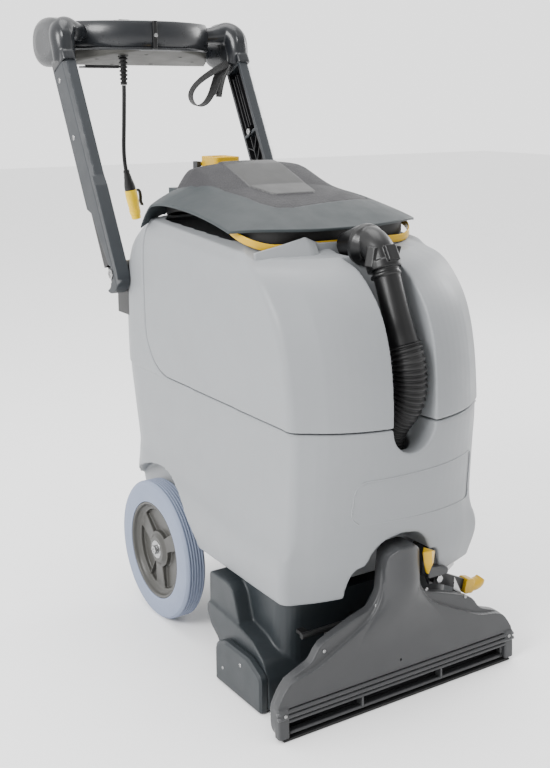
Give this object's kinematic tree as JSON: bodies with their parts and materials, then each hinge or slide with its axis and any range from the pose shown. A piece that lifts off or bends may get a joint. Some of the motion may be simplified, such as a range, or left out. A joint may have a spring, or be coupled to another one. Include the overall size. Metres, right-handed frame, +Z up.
{
  "type": "carpet cleaner machine",
  "caption": "Upright carpet cleaner: stacked solution and recovery tanks on two wheels, powered brush and vacuum shoe in front, folding handle with console.",
  "frame": {"origin": "on the floor, under the middle of the machine's footprint without its hanging cord", "axes": "+Z up, -Y towards the vacuum shoe at the front, +Y towards the handle, X along the wheel axle"},
  "size_m": [0.477, 0.9356, 1.0689],
  "materials": {
    "body_grey": "moulded polyethylene, satin",
    "slate": "textured moulded plastic",
    "dark_grey": "moulded plastic",
    "shoe_grey": "moulded plastic, satin",
    "smoky": "smoky see-through window",
    "yellow": "amber moulded plastic",
    "tyre": "blue-grey non-marking rubber",
    "hub": "glass-filled plastic",
    "arm": "moulded plastic, fine texture",
    "black": "black plastic",
    "rubber": "black rubber",
    "steel": "zinc-plated steel",
    "paint_black": "black paint",
    "bristle": "nylon bristle",
    "webbing": "woven black webbing"
  },
  "bodies": {
    "chassis": {"solution_tank": "body_grey", "recovery_tank": "body_grey", "lid_hinge_bracket": "dark_grey", "lid_hinge_pin": "steel", "lid_seal": "yellow", "filler_neck": "dark_grey", "float_cage": "dark_grey", "hose_elbow": "black", "vacuum_hose": "rubber", "brush_deck": "dark_grey", "deck_cover_left": "dark_grey", "deck_cover_right": "dark_grey", "brush_motor": "paint_black", "drive_belt": "rubber", "spray_bar": "black", "chassis_frame": "paint_black", "axle": "steel", "wheel_bolt_left": "steel", "wheel_bolt_right": "steel", "vacuum_motor": "paint_black", "water_pump": "black", "pedal_bracket": "steel", "pivot_boss_left": "black", "pivot_boss_right": "black", "pivot_bolt_left": "steel", "pivot_bolt_right": "steel"},
    "handle": {"handle_arm_left": "arm", "handle_arm_right": "arm", "grip_left": "arm", "grip_right": "arm", "rear_bar": "arm", "console_housing": "slate", "console_base": "black", "fascia_clip": "black", "cord_strain_relief": "rubber", "pigtail_cord": "rubber", "cord_plug": "yellow", "cord_strap": "webbing"},
    "lid": {"tank_lid": "slate", "lid_window": "smoky"},
    "filler_flap": {"filler_cap": "yellow"},
    "float": {"float_ball": "yellow"},
    "shoe": {"shoe_front": "shoe_grey", "shoe_back": "dark_grey", "shoe_lip": "rubber"},
    "shoe_lock": {"shoe_latch": "yellow"},
    "pedal": {"lift_lever": "paint_black", "lift_pedal": "yellow"},
    "brush": {"brush_roller": "bristle", "brush_shaft": "steel", "brush_pulley": "steel"},
    "motor_rotor": {"motor_pulley": "steel"},
    "wheel_left": {"tyre_left": "tyre", "hub_left": "hub"},
    "wheel_right": {"tyre_right": "tyre", "hub_right": "hub"},
    "vacuum_switch": {"rocker_switch_vacuum": "black"},
    "brush_switch": {"rocker_switch_brush": "black"},
    "trigger": {"spray_trigger": "black"},
    "plug_clip": {"plug_latch": "black"}
  },
  "joints": [
    {"name": "handle_fold", "type": "hinge", "parent": "chassis", "child": "handle", "pos_m": [0, 0.1463, 0.614], "axis": [-1, 0, 0], "range_deg": [0, 55]},
    {"name": "lid_hinge", "type": "hinge", "parent": "chassis", "child": "lid", "pos_m": [0, 0.0623, 0.75], "axis": [-1, 0, 0], "range_deg": [0, 60]},
    {"name": "filler_hinge", "type": "hinge", "parent": "chassis", "child": "filler_flap", "pos_m": [0.022, 0.1643, 0.801], "axis": [-1, 0, 0], "range_deg": [0, 110]},
    {"name": "float_rise", "type": "slide", "parent": "chassis", "child": "float", "axis": [0, 0, 1], "range_m": [0, 0.03]},
    {"name": "shoe_lift", "type": "slide", "parent": "chassis", "child": "shoe", "axis": [0, 0, 1], "range_m": [0, 0.01]},
    {"name": "pedal_turn", "type": "hinge", "parent": "chassis", "child": "pedal", "pos_m": [0.108, -0.4077, 0.16], "axis": [0, 1, 0], "range_deg": [0, 15]},
    {"name": "latch_turn", "type": "hinge", "parent": "shoe", "child": "shoe_lock", "pos_m": [0.0505, -0.4387, 0.229], "axis": [0, -1, 0], "range_deg": [0, 35]},
    {"name": "brush_spin", "type": "hinge", "parent": "chassis", "child": "brush", "pos_m": [0, -0.3157, 0.0405], "axis": [1, 0, 0], "continuous": true},
    {"name": "motor_spin", "type": "hinge", "parent": "chassis", "child": "motor_rotor", "pos_m": [0, -0.2457, 0.118], "axis": [1, 0, 0], "continuous": true},
    {"name": "wheel_left_spin", "type": "hinge", "parent": "chassis", "child": "wheel_left", "pos_m": [-0.1755, 0.0163, 0.127], "axis": [1, 0, 0], "continuous": true},
    {"name": "wheel_right_spin", "type": "hinge", "parent": "chassis", "child": "wheel_right", "pos_m": [0.1755, 0.0163, 0.127], "axis": [1, 0, 0], "continuous": true},
    {"name": "vacuum_switch_rock", "type": "hinge", "parent": "handle", "child": "vacuum_switch", "pos_m": [-0.05, 0.3763, 1.058], "axis": [1, 0, 0], "range_deg": [0, 8]},
    {"name": "brush_switch_rock", "type": "hinge", "parent": "handle", "child": "brush_switch", "pos_m": [0.05, 0.3763, 1.058], "axis": [1, 0, 0], "range_deg": [0, 8]},
    {"name": "trigger_pull", "type": "hinge", "parent": "handle", "child": "trigger", "pos_m": [-0.0675, 0.4493, 1.01], "axis": [1, 0, 0], "range_deg": [0, 15], "stiffness_Nm_per_rad": 0.15, "springref_deg": -5.73},
    {"name": "plug_clip_turn", "type": "hinge", "parent": "handle", "child": "plug_clip", "pos_m": [-0.043, 0.3463, 0.7335], "axis": [0, 1, 0], "range_deg": [0, 4]}
  ],
  "couplings": [
    {"joint": "pedal_turn", "follows": "shoe_lift", "rad_per_m": 26.18},
    {"joint": "motor_spin", "follows": "brush_spin", "ratio": 1.8182}
  ]
}
